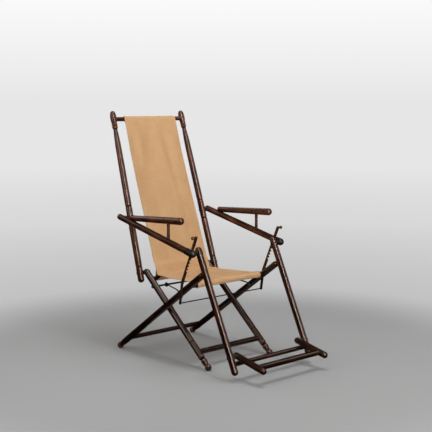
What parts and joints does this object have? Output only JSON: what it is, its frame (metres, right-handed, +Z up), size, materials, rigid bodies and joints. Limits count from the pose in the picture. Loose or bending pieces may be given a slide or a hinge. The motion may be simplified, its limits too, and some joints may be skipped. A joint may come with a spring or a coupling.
{
  "type": "planters chair",
  "caption": "Folding reclining lounge chair of turned dark wood with a canvas sling, long arms, notched iron struts and a hanging footrest with fold-up heel bars.",
  "frame": {"origin": "on the floor under the middle of the chair's box", "axes": "+Z up, -Y the way the chair faces, +X across the chair; right and left in the names are +X and -X"},
  "size_m": [0.5372, 0.9302, 1.0365],
  "materials": {
    "wood": "dark red-brown stained and polished turned hardwood",
    "iron": "blackened forged iron, worn",
    "canvas": "plain-woven tan cotton canvas, hemmed"
  },
  "bodies": {
    "front_legs": {"front_leg_left": "wood", "front_leg_right": "wood", "front_stretcher": "wood", "rear_seat_rail": "wood", "crossing_bolt_left": "iron", "crossing_bolt_right": "iron", "crossing_collar_left": "iron", "crossing_collar_right": "iron", "back_hinge_bolt_left": "iron", "back_hinge_bolt_right": "iron", "back_hinge_collar_left": "iron", "back_hinge_collar_right": "iron", "stay_rod": "iron", "stay_rod_nut_left": "iron", "stay_rod_nut_right": "iron", "canvas_seat": "canvas"},
    "rear_legs": {"rear_leg_left": "wood", "rear_leg_right": "wood", "rear_stretcher": "wood", "front_seat_rail": "wood", "strut_stud_left": "iron", "strut_stud_right": "iron", "stay_peg_left": "iron", "stay_peg_right": "iron"},
    "stays": {"stay_left": "iron", "stay_right": "iron"},
    "back": {"back_stile_left": "wood", "back_stile_right": "wood", "back_top_rail": "wood", "arm_bolt_left": "iron", "arm_bolt_right": "iron", "arm_collar_left": "iron", "arm_collar_right": "iron", "canvas_back": "canvas"},
    "arms": {"arm_bar_left": "wood", "arm_bar_right": "wood", "armrest_left": "wood", "armrest_right": "wood", "armrest_post_left": "wood", "armrest_post_right": "wood", "knee_bolt_left": "iron", "knee_bolt_right": "iron", "knee_collar_left": "iron", "knee_collar_right": "iron", "strut_screw_left": "iron", "strut_screw_right": "iron"},
    "struts": {"strut_left": "iron", "strut_right": "iron", "strut_grip_left": "iron", "strut_grip_right": "iron", "strut_tie_rod": "iron"},
    "footrest": {"footrest_stile_left": "wood", "footrest_stile_right": "wood", "footrest_stop_rod": "wood", "foot_bar_pin_left": "iron", "foot_bar_pin_right": "iron"},
    "foot_bars": {"foot_bar_left": "wood", "foot_bar_right": "wood", "heel_rod": "wood"}
  },
  "joints": [
    {"name": "leg_fold", "type": "hinge", "parent": "front_legs", "child": "rear_legs", "pos_m": [0, 0.096, 0.222], "axis": [-1, 0, 0], "range_deg": [0, 80], "deforming": ["canvas_seat"]},
    {"name": "stay_lift", "type": "hinge", "parent": "front_legs", "child": "stays", "pos_m": [0, 0.18493, 0.29955], "axis": [-1, 0, 0], "range_deg": [0, 40]},
    {"name": "back_recline", "type": "hinge", "parent": "front_legs", "child": "back", "pos_m": [0, 0.24674, 0.35345], "axis": [-1, 0, 0], "range_deg": [0, 15]},
    {"name": "arm_swing", "type": "hinge", "parent": "back", "child": "arms", "pos_m": [0, 0.31778, 0.58583], "axis": [1, 0, 0], "range_deg": [0, 10]},
    {"name": "strut_swing", "type": "hinge", "parent": "arms", "child": "struts", "pos_m": [0, -0.10882, 0.48656], "axis": [-1, 0, 0], "range_deg": [0, 12]},
    {"name": "footrest_swing", "type": "hinge", "parent": "arms", "child": "footrest", "pos_m": [0, -0.13024, 0.48157], "axis": [-1, 0, 0], "range_deg": [0, 16]},
    {"name": "foot_bar_fold", "type": "hinge", "parent": "footrest", "child": "foot_bars", "pos_m": [0, -0.30977, 0.09304], "axis": [-1, 0, 0], "range_deg": [0, 120]}
  ],
  "couplings": [
    {"joint": "stay_lift", "follows": "leg_fold", "ratio": 0.48},
    {"joint": "arm_swing", "follows": "back_recline", "ratio": 0.6524},
    {"joint": "strut_swing", "follows": "back_recline", "ratio": 0.742},
    {"joint": "footrest_swing", "follows": "back_recline", "ratio": 1}
  ]
}
